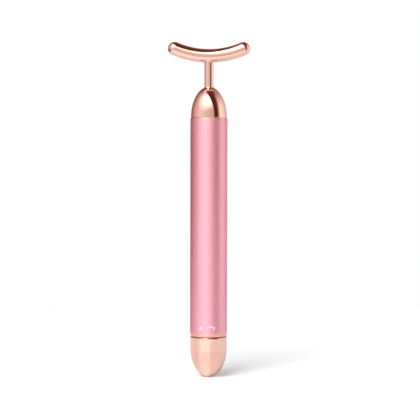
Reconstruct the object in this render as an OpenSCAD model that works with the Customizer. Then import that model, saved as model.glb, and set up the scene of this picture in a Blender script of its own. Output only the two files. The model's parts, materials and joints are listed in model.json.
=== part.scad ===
// Vibrating facial massager with a T-shaped head, run by one AA cell.
// It stands upright on the tip of its end cap: +Z runs up the handle and X runs along the bar.
// Turning the end cap by its screw thread switches it on and off and opens the handle.
// All sizes are in millimetres.

/* [Massage bar] */
// Diameter of the round bar
bar_d = 6.5; // [5.4:0.1:8]
// Radius of the bar's centre line, which curves upwards at both ends
bar_bend_r = 46.6; // [35:0.2:80]
// Angle from the middle of the bar to the centre of each round end
bar_half_angle = 20.6; // [14:0.2:26]

/* [Stem] */
// Diameter of the stem between the dome and the bar
stem_d = 4.4; // [3.8:0.1:5]
// Length of the stem between the dome and the bar
stem_len = 11.6; // [6:0.1:20]
// Diameter of the shank and of the spigot at the stem's two ends
shank_d = 3; // [2.4:0.1:3.2]
// Length of the spigot that goes up into the bar
stem_spigot_len = 3; // [2:0.1:4]
// How far the shank shows below its nut
shank_end_len = 0.8; // [0.4:0.1:1.5]
// Radius of the fillets on the dome and the bar, where the stem meets them
stem_fillet = 0.4; // [0.2:0.05:0.6]
// Thickness of the washer under the stem's nut
washer_t = 0.5; // [0.3:0.1:0.8]
// Diameter of that washer
washer_d = 6.6; // [6:0.1:7]
// Height of the stem's nut
nut_h = 2.2; // [1.6:0.1:2.6]
// Width of the stem's nut across its flats
nut_w = 5.5; // [5:0.1:5.7]

/* [Shoulder dome] */
// Height of the dome's rounded side, measured to where it would close on the axis
dome_rise = 14.3; // [12:0.1:20]
// Height of the straight rim at the dome's foot
dome_rim_h = 0.75; // [0.6:0.05:3]
// How much smaller than the tube the dome is, on the radius
dome_step = 0.18; // [0.05:0.01:0.3]
// Wall of the dome
dome_wall = 1.6; // [1.2:0.1:2]
// Thickness of the dome's top, where the stem goes through
dome_top_t = 4.2; // [3:0.1:5]
// Length of the spigot that goes down into the tube
spigot_len = 5; // [4:0.5:7]
// Wall of that spigot
spigot_wall = 1.3; // [1.1:0.05:1.5]
// Thickness of the sealing ring on the spigot
dome_seal_d = 0.8; // [0.6:0.05:0.9]

/* [Handle tube] */
// Outer diameter of the handle tube
tube_d = 17.8; // [17.6:0.1:20]
// Wall of the handle tube
tube_wall = 0.5; // [0.4:0.05:0.6]
// Length of the handle tube
tube_len = 103.15; // [98:0.05:130]
// Chamfer on the tube's outer edges
tube_chamfer = 0.15; // [0.05:0.05:0.25]

/* [Threaded collar] */
// Height of the collar's lip, which shows below the tube
lip_h = 1.25; // [0.8:0.05:2.5]
// How much smaller than the tube the lip is, on the radius
lip_step = 0.05; // [0:0.01:0.1]
// Chamfer on the lip's lower edge
lip_chamfer = 0.2; // [0.1:0.05:0.3]
// Length of the collar inside the tube
collar_len = 6.6; // [6:0.1:9]
// Plain bore at the collar's mouth, below its thread
collar_mouth_h = 0.9; // [0.6:0.1:1.5]

/* [Screw thread] */
// Rise of the thread in one turn
pitch = 1.25; // [1:0.05:1.5]
// Depth of the thread
thread_depth = 0.5; // [0.4:0.05:0.55]
// Width of the ridge's foot, as a share of the pitch
foot_share = 0.62; // [0.5:0.01:0.64]
// Width of the ridge's crest, as a share of the pitch
crest_share = 0.24; // [0.15:0.01:0.26]
// Radial gap between the thread's two halves
thread_gap = 0.15; // [0.12:0.01:0.2]

/* [End cap] */
// Height of the cap's rounded end
cap_dome_h = 14; // [10:0.1:20]
// Height of the cap's straight side
cap_side_h = 5.6; // [4:0.1:12]
// How much smaller than the tube the cap is, on the radius
cap_step = 0.04; // [0:0.01:0.2]
// Wall of the cap
cap_wall = 1.4; // [1.2:0.05:1.6]
// Chamfer on the cap's rim
cap_chamfer = 0.2; // [0.1:0.05:0.3]
// Gap between the cap and the collar when the cap is screwed home
seam_gap = 0.4; // [0.25:0.05:0.8]
// How far the seal in that gap lies in from the tube's surface
seal_inset = 0.45; // [0.3:0.05:0.5]

/* [Cap plug] */
// Thickness of the flange that sits in the cap's rim
flange_t = 0.7; // [0.5:0.1:1.2]
// How far the flange stands out round the plug
flange_w = 0.4; // [0.3:0.05:0.5]
// Wall of the hollow plug
plug_wall = 1.2; // [1:0.1:1.6]
// Thickness of the plug's top
plug_top_t = 1.6; // [1.2:0.1:2.4]
// How far the plug's top stays below the collar's top
plug_recess = 0.3; // [0.1:0.1:1]

/* [Battery spring] */
// Thickness of the spring's wire
wire_d = 0.7; // [0.5:0.05:0.8]
// Height of the spring between its seat and the cell
spring_len = 5.6; // [5:0.1:8]
// Radius of the spring's wide end, to the middle of the wire
spring_foot_r = 5.2; // [4.8:0.1:5.4]
// Radius of the spring's narrow end, to the middle of the wire
spring_top_r = 3.1; // [2.8:0.1:3.5]
// Number of turns
spring_turns = 4; // [3:0.5:4.5]
// Thickness of the plate under the spring
seat_t = 0.3; // [0.2:0.05:0.5]
// Diameter of the rivets that hold the spring plate and the contact leaf
rivet_d = 1.6; // [1.2:0.1:2]
// Diameter of the rivets' heads
rivet_head_d = 3; // [2.6:0.1:3.4]
// Height of the rivets' heads
rivet_head_h = 0.5; // [0.3:0.1:0.6]

/* [Battery] */
// Length of the AA cell with its button
cell_len = 50.4; // [49:0.1:50.6]
// Thickness of the jacket round the cell
jacket_t = 0.12; // [0.08:0.02:0.2]
// Diameter of the cell's button
button_d = 5.4; // [5:0.1:6]
// Height of the cell's button
button_h = 1.3; // [1:0.1:1.6]
// Radius of the edges of the cell
cell_edge_r = 0.7; // [0.4:0.1:1]

/* [Battery sleeve] */
// Wall of the sleeve
sleeve_wall = 0.9; // [0.8:0.05:1.3]
// Gap around the cell, which also clears the thread
cell_gap = 0.3; // [0.2:0.05:0.35]
// Width of the conductor strip beside the sleeve
strip_w = 3; // [2:0.1:4]
// Thickness of that strip
strip_t = 0.25; // [0.15:0.05:0.3]
// Length of the strip's tab on the contact board
tab_len = 2.2; // [1.8:0.1:3]

/* [Contact board] */
// Thickness of the contact board
board_t = 1; // [0.8:0.1:1.6]
// Height from the cell's button to the board
contact_drop = 1.5; // [1.2:0.1:2.5]
// Thickness of the contact leaf
leaf_t = 0.3; // [0.2:0.05:0.4]
// Width of the contact leaf
leaf_w = 4; // [3.4:0.1:5]
// Distance from the board's edge to the contact leaf's rivet
leaf_rivet_inset = 3.7; // [3.3:0.1:4.1]

/* [Motor] */
// Diameter of the motor's can
motor_d = 12; // [11:0.1:12.4]
// Width of the motor across its two flats
motor_w = 10; // [9.4:0.1:10.6]
// Length of the motor's can
motor_len = 15; // [14:0.5:18]
// Wall of the motor's can
motor_wall = 0.4; // [0.3:0.05:0.5]
// Thickness of the motor's end bell
bell_t = 2; // [1.8:0.1:2.6]
// Diameter of the motor's shaft
shaft_d = 1; // [0.8:0.1:1.5]
// Outer diameter of the shaft's two bushes
bush_d = 3; // [2.4:0.1:3.4]
// Length of each bush
bush_len = 1.6; // [1.2:0.1:1.8]
// Thickness of the motor's magnets
magnet_t = 1.2; // [0.9:0.05:1.3]
// Angle from the middle of a magnet to its edge
magnet_half_angle = 48; // [36:1:50]
// Length of the magnets
magnet_len = 8; // [7:0.1:9]
// Gap between the magnets and the armature
air_gap = 0.3; // [0.2:0.05:0.4]
// Length of the armature's core
core_len = 6; // [5:0.1:7]
// Width of each pole's neck
pole_neck_w = 1.3; // [1:0.1:1.5]
// Thickness of each pole's shoe
pole_shoe_t = 0.7; // [0.5:0.1:0.8]
// Angle from the middle of a pole's shoe to its edge
pole_half_angle = 48; // [40:1:54]
// Thickness of the winding round a neck
coil_t = 0.5; // [0.3:0.1:0.6]
// How far the windings stand out at each end of the core
coil_end = 0.8; // [0.5:0.1:1.1]
// Diameter of the commutator
commutator_d = 2.6; // [2.2:0.1:3]
// Length of the commutator
commutator_len = 2; // [1.6:0.1:2.2]
// Distance from the motor's axis to each terminal
terminal_x = 3.4; // [3:0.1:3.6]
// Width of the terminals
terminal_w = 2.2; // [1.6:0.1:3]
// Thickness of the terminals and the brushes
terminal_t = 0.25; // [0.2:0.05:0.3]
// How far the terminals stand out below the motor
terminal_len = 1.8; // [1.2:0.1:2.5]

/* [Eccentric weight] */
// Radius of the half-round weight
weight_r = 4.8; // [4:0.1:5.4]
// Length of the weight along the shaft
weight_len = 4.5; // [3:0.1:5.5]
// Radius of the weight's hub
hub_r = 1.5; // [1.2:0.1:2]

/* [Motor holder] */
// Wall of the holder's hollow lower part
holder_wall = 1; // [0.8:0.1:1.3]
// Thickness of the floor that carries the motor
floor_t = 1.2; // [0.8:0.1:2]

/* [Leads] */
// Diameter of the two leads to the motor
lead_d = 1; // [0.8:0.05:1.3]
// How far the leads bow sideways between board and motor
lead_bow = 0.9; // [0.5:0.1:1.2]

/* [Fits] */
// Radial gap between pieces that are pressed or glued together
press_gap = 0.03; // [0.02:0.01:0.05]
// Radial gap between pieces that slip together
slip_gap = 0.1; // [0.06:0.01:0.14]
// Radial gap round the motor's shaft in its bushes
shaft_gap = 0.02; // [0.015:0.005:0.04]
// Gap between two faces that only touch
touch_gap = 0.05; // [0.03:0.01:0.1]

/* [Hidden] */
$fn = 64;

// Steps along each curved outline, fillet and rounded edge, and in one turn of a thread or coil
outline_steps = 24;
fillet_steps = 5;
turn_steps = 30;
// How far a cut runs past the face that it opens
cut = 1;
// How deep a thread's foot lies in its wall, and the share of a turn over which its ends fade out
ridge_sink = 0.15;
fade_share = 1 / 3;

// Radii of the pieces that fit in the tube
tube_r = tube_d / 2;
tube_in_r = tube_r - tube_wall;
stem_r = stem_d / 2;
shank_r = shank_d / 2;
sleeve_r = tube_in_r - slip_gap;
bore_r = sleeve_r - sleeve_wall;
// The cell, an AA cell with its jacket on, takes the room that the sleeve leaves it
cell_r = bore_r - cell_gap;
leaf_rivet_x = sleeve_r - leaf_rivet_inset;
spigot_r = tube_in_r - press_gap;
cap_r = tube_r - cap_step;
cap_bore_r = cap_r - cap_wall;
dome_r = tube_r - dome_step;
seal_groove_d = dome_seal_d + press_gap;

// Radii of the two halves of the screw thread, and the shape of its ridge
nut_root_r = bore_r + thread_depth;
screw_root_r = bore_r - thread_gap;
screw_crest_r = nut_root_r - thread_gap;
ridge_foot = foot_share * pitch;
ridge_crest = crest_share * pitch;

// Heights from the tip of the cap up to the cell
cap_h = cap_dome_h + cap_side_h;
collar_z = cap_h + seam_gap;
tube_z = collar_z + lip_h;
tube_top = tube_z + tube_len;
collar_top = tube_z + collar_len;
plug_top = collar_top - plug_recess;
seat_top = plug_top + seat_t;
cell_z = seat_top + spring_len + touch_gap;
cell_top = cell_z + cell_len;

// Heights of the thread's two halves: the ridges lie half a pitch apart
nut_thread_z = collar_z + collar_mouth_h + ridge_foot / 2;
nut_thread_top = collar_top - ridge_foot;
screw_thread_z = collar_z + collar_mouth_h + ridge_foot;
screw_thread_top = plug_top - ridge_foot;

// Heights from the contact board up to the motor
board_z = cell_top + touch_gap + contact_drop;
board_top = board_z + board_t;
holder_top = tube_top - spigot_len - touch_gap;
motor_z = holder_top - motor_len;
motor_top = holder_top;
floor_z = motor_z - floor_t;
commutator_z = motor_z + bell_t + touch_gap;
core_z = commutator_z + commutator_len + coil_end + touch_gap;
magnet_z = core_z + (core_len - magnet_len) / 2;
boss_h = bush_len - motor_wall;
weight_z = motor_top + boss_h + slip_gap;
weight_top = weight_z + weight_len;

// Heights of the dome, the stem and the bar
dome_mid = tube_top + dome_rim_h;
land_turn = acos((stem_r + stem_fillet / 2) / dome_r);
land_slope = atan(dome_rise * cos(land_turn) / (dome_r * sin(land_turn)));
land_r = stem_r + stem_fillet * (1 - sin(land_slope));
land_z = dome_mid + dome_rise * sqrt(1 - pow(land_r / dome_r, 2));
stem_z = land_z + stem_fillet * cos(land_slope);
stem_top = stem_z + stem_len;
bar_mid = stem_top + stem_fillet + bar_d / 2;
bend_z = bar_mid + bar_bend_r;
dome_ceiling = stem_z - dome_top_t;
washer_z = dome_ceiling - washer_t;
nut_z = washer_z - nut_h;
shank_z = nut_z - shank_end_len;

// Sizes inside the motor
motor_r = motor_d / 2;
motor_in_r = motor_r - motor_wall;
motor_in_w = motor_w - 2 * motor_wall;
magnet_in_r = motor_in_r - touch_gap - magnet_t;
core_r = magnet_in_r - air_gap;
shaft_r = shaft_d / 2;
commutator_r = commutator_d / 2;

// Place of the leads' upper ends, against the outsides of the terminals
lead_end_x = terminal_x + terminal_t / 2 + press_gap + lead_d / 2;

// Slot for the conductor strip, in the sleeve's outside
strip_y = sleeve_r - slip_gap - strip_t;
slot_w = strip_w + 2 * slip_gap;

rose_gold = [0.87, 0.62, 0.53];
pink = [0.90, 0.60, 0.69];
white_plastic = [0.90, 0.90, 0.88];
grey_plastic = [0.35, 0.36, 0.38];
black_rubber = [0.08, 0.08, 0.08];
steel = [0.74, 0.75, 0.77];
brass = [0.80, 0.66, 0.36];
copper = [0.78, 0.43, 0.25];

// Points of an ellipse with half-axes a and b about height mid, from one angle to another
function ellipse_arc(a, b, mid, from, to) = [
    for (i = [0 : outline_steps])
        let (t = from + (to - from) * i / outline_steps)
        [a * cos(t), mid + b * sin(t)]
];

// Triangles that join rings of n points one after another and close both ends
function skin_faces(rings, n) = concat(
    [for (i = [0 : rings - 2], j = [0 : n - 1]) [i * n + j, (i + 1) * n + (j + 1) % n, (i + 1) * n + j]],
    [for (i = [0 : rings - 2], j = [0 : n - 1]) [i * n + j, i * n + (j + 1) % n, (i + 1) * n + (j + 1) % n]],
    [for (j = [1 : n - 2]) [0, j + 1, j]],
    [for (j = [1 : n - 2]) let (e = (rings - 1) * n) [e, e + j, e + j + 1]]
);

// Ring of n points round a wire at angle a of a coil with radius r and height z
function coil_ring(a, r, z, wire_r, n) = [
    for (j = [0 : n - 1])
        let (b = 360 * j / n, out = r + wire_r * cos(b))
        [out * cos(a), out * sin(a), z + wire_r * sin(b)]
];

// Helical ridge of a thread from z_low to z_high, on the helix through height phase at angle 0.
// foot_r lies inside the wall and tip_r is the ridge's crest. Both ends fade into the wall.
module thread_ridge(foot_r, tip_r, z_low, z_high, phase) {
    first = ceil((z_low - phase) / pitch * turn_steps);
    last = floor((z_high - phase) / pitch * turn_steps);
    fade = turn_steps * fade_share;
    rings = [
        for (i = [first : last])
            let (
                a = 360 * i / turn_steps,
                z = phase + pitch * i / turn_steps,
                near = min(i - first, last - i, fade) / fade,
                tip = foot_r + (tip_r - foot_r) * max(near, 1 / turn_steps)
            )
            [
                [foot_r * cos(a), foot_r * sin(a), z - ridge_foot / 2],
                [tip * cos(a), tip * sin(a), z - ridge_crest / 2],
                [tip * cos(a), tip * sin(a), z + ridge_crest / 2],
                [foot_r * cos(a), foot_r * sin(a), z + ridge_foot / 2]
            ]
    ];
    flip = tip_r < foot_r;
    faces = skin_faces(len(rings), 4);
    polyhedron(
        [for (r = rings) each r],
        flip ? [for (f = faces) [f[0], f[2], f[1]]] : faces
    );
}

// Round tube from z_low to z_high
module pipe(out_r, in_r, z_low, z_high) {
    translate([0, 0, z_low])
        difference() {
            cylinder(r = out_r, h = z_high - z_low);
            translate([0, 0, -cut])
                cylinder(r = in_r, h = z_high - z_low + 2 * cut);
        }
}

// Rivet along Z through a stack from z_low to z_high, with a head at each end
module rivet(z_low, z_high) {
    translate([0, 0, z_low - rivet_head_h])
        cylinder(d = rivet_head_d, h = rivet_head_h);
    translate([0, 0, z_low - touch_gap])
        cylinder(d = rivet_d, h = z_high - z_low + 2 * touch_gap);
    translate([0, 0, z_high])
        cylinder(d = rivet_head_d, h = rivet_head_h);
}

// Outline of the motor: a circle with two flats that face +Y and -Y
module motor_outline(r, w) {
    intersection() {
        circle(r = r);
        square([2 * r + cut, w], center = true);
    }
}

// The bar: an arc of round rod with hemispherical ends and a small foot for the stem
module massage_bar() {
    color(rose_gold)
        difference() {
            union() {
                translate([0, 0, bend_z])
                    rotate([90, 0, 0])
                        rotate([0, 0, -90 - bar_half_angle])
                            rotate_extrude(angle = 2 * bar_half_angle)
                                translate([bar_bend_r, 0])
                                    circle(d = bar_d);
                for (side = [-1, 1])
                    translate([0, 0, bend_z])
                        rotate([0, side * bar_half_angle, 0])
                            translate([0, 0, -bar_bend_r])
                                rotate([0, -side * 90, 0])
                                    bar_end();
                rotate_extrude()
                    polygon(concat(
                        [[0, stem_top]],
                        [for (i = [0 : fillet_steps])
                            let (t = 90 * i / fillet_steps)
                            [stem_r + stem_fillet * (1 - cos(t)), stem_top + stem_fillet * sin(t)]],
                        [[stem_r + stem_fillet, bar_mid], [0, bar_mid]]
                    ));
            }
            translate([0, 0, stem_top - cut])
                cylinder(r = shank_r + press_gap, h = stem_spigot_len + press_gap + cut);
        }
}

// Ball that rounds off one end of the bar, turned about the bar's own direction
module bar_end() {
    rotate_extrude()
        intersection() {
            circle(d = bar_d);
            translate([0, -bar_d])
                square(2 * bar_d);
        }
}

// The stem, with a spigot in the bar above and a shank through the dome below
module head_stem() {
    color(rose_gold) {
        translate([0, 0, stem_z])
            cylinder(r = stem_r, h = stem_len);
        translate([0, 0, shank_z])
            cylinder(r = shank_r, h = stem_top + stem_spigot_len - shank_z);
    }
}

module stem_washer() {
    color(steel)
        pipe(washer_d / 2, shank_r + slip_gap, washer_z, dome_ceiling);
}

module stem_nut() {
    color(brass)
        difference() {
            translate([0, 0, nut_z])
                cylinder(r = nut_w / 2 / cos(30), h = nut_h, $fn = 6);
            translate([0, 0, nut_z - cut])
                cylinder(r = shank_r + press_gap, h = nut_h + 2 * cut);
        }
}

// The dome's shell, with a thick top for the stem and a spigot in the tube
module shoulder_dome() {
    spigot_in_r = spigot_r - spigot_wall;
    ceiling_r = washer_d / 2 + slip_gap;
    land_angle = acos(land_r / dome_r);
    in_r = dome_r - dome_wall;
    in_rise = dome_rise - dome_wall;
    ceiling_angle = asin(min(1, (dome_ceiling - dome_mid) / in_rise));
    groove_z = tube_top - spigot_len / 2;
    color(rose_gold)
        rotate_extrude()
            difference() {
                polygon(concat(
                    [[0, tube_top - spigot_len], [spigot_r, tube_top - spigot_len]],
                    [[spigot_r, tube_top], [dome_r, tube_top]],
                    ellipse_arc(dome_r, dome_rise, dome_mid, 0, land_angle),
                    [for (i = [1 : fillet_steps])
                        let (t = land_slope + (90 - land_slope) * i / fillet_steps)
                        [stem_r + stem_fillet * (1 - sin(t)), stem_z - stem_fillet * cos(t)]],
                    [[0, stem_z]]
                ));
                polygon(concat(
                    [[0, tube_top - spigot_len - cut], [spigot_in_r, tube_top - spigot_len - cut]],
                    [[spigot_in_r, tube_top + dome_rim_h]],
                    [for (p = ellipse_arc(in_r, in_rise, dome_mid, 0, ceiling_angle))
                        [min(p[0], spigot_in_r), p[1]]],
                    [[0, dome_ceiling]]
                ));
                square([shank_r + slip_gap, stem_z + cut]);
                translate([spigot_r - seal_groove_d, groove_z - dome_seal_d / 2 - slip_gap])
                    square([seal_groove_d + cut, dome_seal_d + 2 * slip_gap]);
            }
}

// Round rubber ring in the groove of the dome's spigot
module dome_seal() {
    color(black_rubber)
        translate([0, 0, tube_top - spigot_len / 2])
            rotate_extrude()
                translate([tube_in_r - dome_seal_d / 2 - press_gap, 0])
                    circle(d = dome_seal_d);
}

module handle_tube() {
    color(pink)
        rotate_extrude()
            polygon([
                [tube_in_r, tube_z],
                [tube_r - tube_chamfer, tube_z],
                [tube_r, tube_z + tube_chamfer],
                [tube_r, tube_top - tube_chamfer],
                [tube_r - tube_chamfer, tube_top],
                [tube_in_r, tube_top]
            ]);
}

// Collar in the tube's lower end: its lip shows, and its inside holds the cap's thread
module threaded_collar() {
    lip_r = tube_r - lip_step;
    mouth_r = nut_root_r + touch_gap;
    color(rose_gold) {
        rotate_extrude()
            polygon([
                [mouth_r, collar_z],
                [lip_r - lip_chamfer, collar_z],
                [lip_r, collar_z + lip_chamfer],
                [lip_r, tube_z],
                [spigot_r, tube_z],
                [spigot_r, collar_top],
                [nut_root_r, collar_top],
                [nut_root_r, collar_z + collar_mouth_h + touch_gap],
                [mouth_r, collar_z + collar_mouth_h]
            ]);
        thread_ridge(
            nut_root_r + ridge_sink, bore_r, nut_thread_z, nut_thread_top, tube_z + pitch / 2
        );
    }
}

// Plastic sleeve round the cell, with a slot outside for the conductor strip
module battery_sleeve() {
    color(white_plastic)
        difference() {
            pipe(sleeve_r, bore_r, collar_top, board_z);
            translate([-slot_w / 2, strip_y - slip_gap, collar_top - cut])
                cube([slot_w, tube_r, board_z - collar_top + 2 * cut]);
        }
}

// Flat strip that carries the current from the collar up to the contact board
module conductor_strip() {
    color(brass) {
        translate([-strip_w / 2, strip_y, collar_top])
            cube([strip_w, strip_t, board_top + strip_t - collar_top]);
        translate([-strip_w / 2, strip_y + strip_t - tab_len, board_top])
            cube([strip_w, tab_len, strip_t]);
    }
}

module contact_board() {
    color([0.16, 0.42, 0.27])
        difference() {
            translate([0, 0, board_z])
                cylinder(r = sleeve_r, h = board_t);
            translate([leaf_rivet_x, 0, board_z - cut])
                cylinder(d = rivet_d + 2 * slip_gap, h = board_t + 2 * cut);
            translate([-slot_w / 2, strip_y - slip_gap, board_z - cut])
                cube([slot_w, tube_r, board_t + 2 * cut]);
        }
}

// Springy leaf under the board: its bent tongue meets the cell's button
module contact_leaf() {
    low = cell_top + touch_gap;
    dip = button_d / 4;
    path = [
        [leaf_rivet_x + rivet_head_d / 2, board_z],
        [leaf_rivet_x - rivet_head_d / 2, board_z],
        [dip, low + leaf_t],
        [-dip, low + leaf_t],
        [-button_d / 2, low + leaf_t + contact_drop / 3]
    ];
    color(brass)
        difference() {
            translate([0, leaf_w / 2, 0])
                rotate([90, 0, 0])
                    linear_extrude(height = leaf_w)
                        polygon(concat(
                            path,
                            [for (i = [len(path) - 1 : -1 : 0]) [path[i][0], path[i][1] - leaf_t]]
                        ));
            translate([leaf_rivet_x, 0, board_z - leaf_t - cut])
                cylinder(d = rivet_d + 2 * slip_gap, h = leaf_t + 2 * cut);
        }
}

module leaf_rivet() {
    color(steel)
        translate([leaf_rivet_x, 0, 0])
            rivet(board_z - leaf_t, board_top);
}

// Holder above the board: a hollow barrel for the leads and a pocket for the motor
module motor_holder() {
    window_r = lead_end_x + lead_d / 2 + slip_gap;
    color(grey_plastic)
        difference() {
            translate([0, 0, board_top])
                cylinder(r = sleeve_r, h = holder_top - board_top);
            translate([0, 0, board_top - cut])
                cylinder(r = sleeve_r - holder_wall, h = floor_z - board_top + cut);
            translate([0, 0, floor_z - cut])
                cylinder(r = window_r, h = floor_t + 2 * cut);
            translate([0, 0, motor_z])
                linear_extrude(height = motor_len + cut)
                    motor_outline(motor_r + slip_gap, motor_w + 2 * slip_gap);
            translate([-slot_w / 2, 0, board_top - cut])
                cube([slot_w, tube_r, cut + strip_t + slip_gap]);
        }
}

// Steel can of the motor, open below, with a boss for the front bush
module motor_can() {
    color(steel)
        difference() {
            union() {
                translate([0, 0, motor_z])
                    linear_extrude(height = motor_len)
                        motor_outline(motor_r, motor_w);
                translate([0, 0, motor_top - motor_wall])
                    cylinder(d = bush_d + 2 * motor_wall, h = bush_len);
            }
            translate([0, 0, motor_z - cut])
                linear_extrude(height = motor_len - motor_wall + cut)
                    motor_outline(motor_in_r, motor_in_w);
            translate([0, 0, motor_top - motor_wall - cut])
                cylinder(d = bush_d + 2 * press_gap, h = bush_len + 2 * cut);
        }
}

module front_bush() {
    color(brass)
        pipe(bush_d / 2, shaft_r + shaft_gap, motor_top - motor_wall, motor_top + boss_h);
}

module motor_end_bell() {
    color(white_plastic)
        difference() {
            translate([0, 0, motor_z])
                linear_extrude(height = bell_t)
                    motor_outline(motor_in_r - press_gap, motor_in_w - 2 * press_gap);
            translate([0, 0, motor_z - cut])
                cylinder(d = bush_d + 2 * press_gap, h = bell_t + 2 * cut);
            for (side = [-1, 1])
                translate([side * terminal_x, 0, motor_z + bell_t / 2])
                    cube([terminal_t + 2 * press_gap, terminal_w + 2 * press_gap, bell_t + cut], center = true);
        }
}

module rear_bush() {
    color(brass)
        pipe(bush_d / 2, shaft_r + shaft_gap, motor_z, motor_z + bush_len);
}

// Two curved magnets against the round sides of the can
module motor_magnets() {
    color([0.20, 0.20, 0.22])
        translate([0, 0, magnet_z])
            for (side = [0, 180])
                rotate([0, 0, side - magnet_half_angle])
                    rotate_extrude(angle = 2 * magnet_half_angle)
                        translate([magnet_in_r, 0])
                            square([magnet_t, magnet_len]);
}

// Two leaf brushes that stand on the end bell beside the commutator
module motor_brushes() {
    brush_x = commutator_r + touch_gap;
    color(copper)
        for (side = [0, 180])
            rotate([0, 0, side]) {
                translate([brush_x, -commutator_r, commutator_z - touch_gap])
                    cube([terminal_t, commutator_d, commutator_len]);
                translate([brush_x, -commutator_r, commutator_z - touch_gap])
                    cube([terminal_x - brush_x - terminal_t / 2, commutator_d, terminal_t]);
            }
}

// Two tabs through the end bell, to which the leads are soldered
module motor_terminals() {
    color(brass)
        for (side = [-1, 1])
            translate([side * terminal_x - terminal_t / 2, -terminal_w / 2, motor_z - terminal_len])
                cube([terminal_t, terminal_w, terminal_len + bell_t + terminal_t]);
}

// Lead that leaves a joint at from, straight up, and comes straight up again beside its terminal to
// the point at to. Its spare length bows it sideways.
module lead(from, to) {
    sides = 8;
    steps = 24;
    r = lead_d / 2;
    span = [to[0] - from[0], to[1] - from[1], 0];
    across = cross([0, 0, 1], span) / norm(span);
    straight = (terminal_len + lead_d) / (to[2] - from[2]);
    route = [
        for (i = [0 : steps])
            let (
                s = i / steps,
                free = min(s / (1 - straight), 1),
                ease = free * free * (3 - 2 * free),
                bow = lead_bow * pow(sin(180 * free), 2) * sin(360 * free)
            )
            [from[0], from[1], from[2] + (to[2] - from[2]) * s] + span * ease + across * bow
    ];
    rings = [
        for (i = [0 : steps])
            let (
                run = i == 0 || i == steps ? [0, 0, 1] : route[i + 1] - route[i - 1],
                t = run / norm(run),
                out = across - t * (across * t),
                v = out / norm(out),
                u = cross(t, v)
            )
            [for (j = [0 : sides - 1]) let (b = 360 * j / sides) route[i] + u * (r * cos(b)) + v * (r * sin(b))]
    ];
    polyhedron([for (ring = rings) each ring], skin_faces(len(rings), sides));
}

// From the head of the contact leaf's rivet
module red_lead() {
    color([0.75, 0.10, 0.08])
        lead(
            [leaf_rivet_x, 0, board_top + rivet_head_h],
            [lead_end_x, 0, motor_z - touch_gap]
        );
}

// From the conductor strip's tab
module black_lead() {
    color(black_rubber)
        lead(
            [0, strip_y + strip_t - tab_len + lead_d / 2, board_top + strip_t],
            [-lead_end_x, 0, motor_z - touch_gap]
        );
}

module motor_shaft() {
    color(steel)
        translate([0, 0, motor_z + touch_gap])
            cylinder(r = shaft_r, h = weight_top - motor_z - touch_gap);
}

// Neck and shoe of one pole of the armature
module pole_outline() {
    side = core_r * tan(pole_half_angle);
    translate([0, -pole_neck_w / 2])
        square([core_r - pole_shoe_t / 2, pole_neck_w]);
    intersection() {
        difference() {
            circle(r = core_r);
            circle(r = core_r - pole_shoe_t);
        }
        polygon([[0, 0], [core_r, -side], [core_r, side]]);
    }
}

// Three-pole core pressed on the shaft
module armature_core() {
    color([0.45, 0.46, 0.50])
        translate([0, 0, core_z])
            linear_extrude(height = core_len)
                difference() {
                    union() {
                        circle(r = commutator_r);
                        for (i = [0 : 2])
                            rotate([0, 0, 120 * i])
                                pole_outline();
                    }
                    circle(r = shaft_r + press_gap);
                }
}

// One winding round each pole's neck
module armature_windings() {
    half_w = pole_neck_w / 2 + coil_t;
    start = commutator_r + slip_gap;
    end = sqrt(pow(core_r - pole_shoe_t, 2) - pow(half_w, 2)) - slip_gap;
    color(copper)
        for (i = [0 : 2])
            rotate([0, 0, 120 * i])
                difference() {
                    translate([start, -half_w, core_z - coil_end])
                        cube([end - start, 2 * half_w, core_len + 2 * coil_end]);
                    translate([start - cut, -pole_neck_w / 2 - press_gap, core_z - press_gap])
                        cube([end - start + 2 * cut, pole_neck_w + 2 * press_gap, core_len + 2 * press_gap]);
                }
}

// Copper segments that the brushes touch
module commutator() {
    segment_gap = 0.2;
    color(copper)
        difference() {
            pipe(commutator_r, shaft_r + press_gap, commutator_z, commutator_z + commutator_len);
            for (i = [0 : 2])
                rotate([0, 0, 60 + 120 * i])
                    translate([commutator_r - segment_gap, -segment_gap / 2, commutator_z - cut])
                        cube([cut, segment_gap, commutator_len + 2 * cut]);
        }
}

// Half-round weight that makes the head vibrate
module eccentric_weight() {
    color(steel)
        translate([0, 0, weight_z])
            difference() {
                union() {
                    cylinder(r = hub_r, h = weight_len);
                    intersection() {
                        cylinder(r = weight_r, h = weight_len);
                        translate([-weight_r, 0, 0])
                            cube([2 * weight_r, weight_r, weight_len]);
                    }
                }
                translate([0, 0, -cut])
                    cylinder(r = shaft_r + press_gap, h = weight_len + 2 * cut);
            }
}

// Steel can of the cell with its button
module battery_cell() {
    r = cell_r - jacket_t - press_gap;
    shoulder = cell_len - button_h;
    color(steel)
        translate([0, 0, cell_z])
            rotate_extrude()
                polygon(concat(
                    [[0, 0]],
                    [for (i = [0 : fillet_steps])
                        let (t = 90 * i / fillet_steps)
                        [r - cell_edge_r * (1 - sin(t)), cell_edge_r * (1 - cos(t))]],
                    [for (i = [0 : fillet_steps])
                        let (t = 90 * i / fillet_steps)
                        [r - cell_edge_r * (1 - cos(t)), shoulder - cell_edge_r * (1 - sin(t))]],
                    [[button_d / 2, shoulder], [button_d / 2, cell_len], [0, cell_len]]
                ));
}

// Thin jacket shrunk round the cell
module battery_jacket() {
    color(grey_plastic)
        pipe(cell_r, cell_r - jacket_t, cell_z + cell_edge_r, cell_top - button_h - cell_edge_r);
}

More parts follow.
